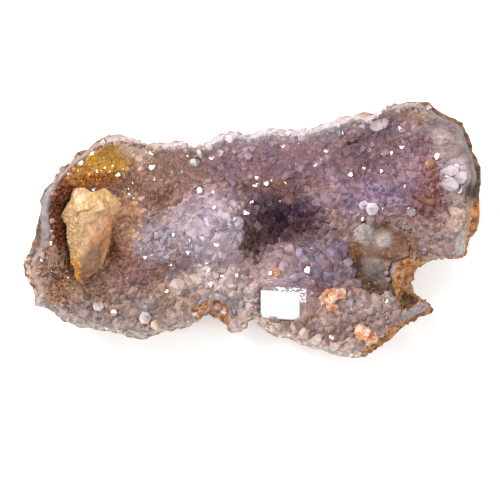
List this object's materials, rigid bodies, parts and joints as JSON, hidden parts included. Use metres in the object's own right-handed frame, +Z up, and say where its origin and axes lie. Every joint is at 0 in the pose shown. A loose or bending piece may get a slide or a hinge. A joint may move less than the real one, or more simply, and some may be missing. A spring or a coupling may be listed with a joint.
{
  "type": "amethyst cluster",
  "caption": "Broken geode dish lined with druzy amethyst points, holding a tan dog-tooth calcite crystal, bare chalcedony lumps, a brown rind and a blank taped label.",
  "frame": {"origin": "middle of the cluster's length and depth, on the plane of its flat underside", "axes": "+X along the length, with the calcite crystal at the -X end; -Y towards the low front edge with the label; +Z up, out of the crystal-lined hollow"},
  "size_m": [0.179, 0.1, 0.0508],
  "materials": {
    "chalcedony_rind": "matt brown rind outside, blue-grey banded chalcedony at the broken edge",
    "amethyst": "glossy translucent crystal faces, mauve with iron-brown joints",
    "calcite": "waxy tan faces, sugary on one side",
    "paper": "matt white paper with nothing printed on it",
    "tape": "clear glossy film"
  },
  "bodies": {
    "root": {"geode_shell": "chalcedony_rind", "amethyst_crust": "amethyst", "calcite_crystal": "calcite", "paper_label": "paper", "clear_tape": "tape"}
  },
  "joints": []
}
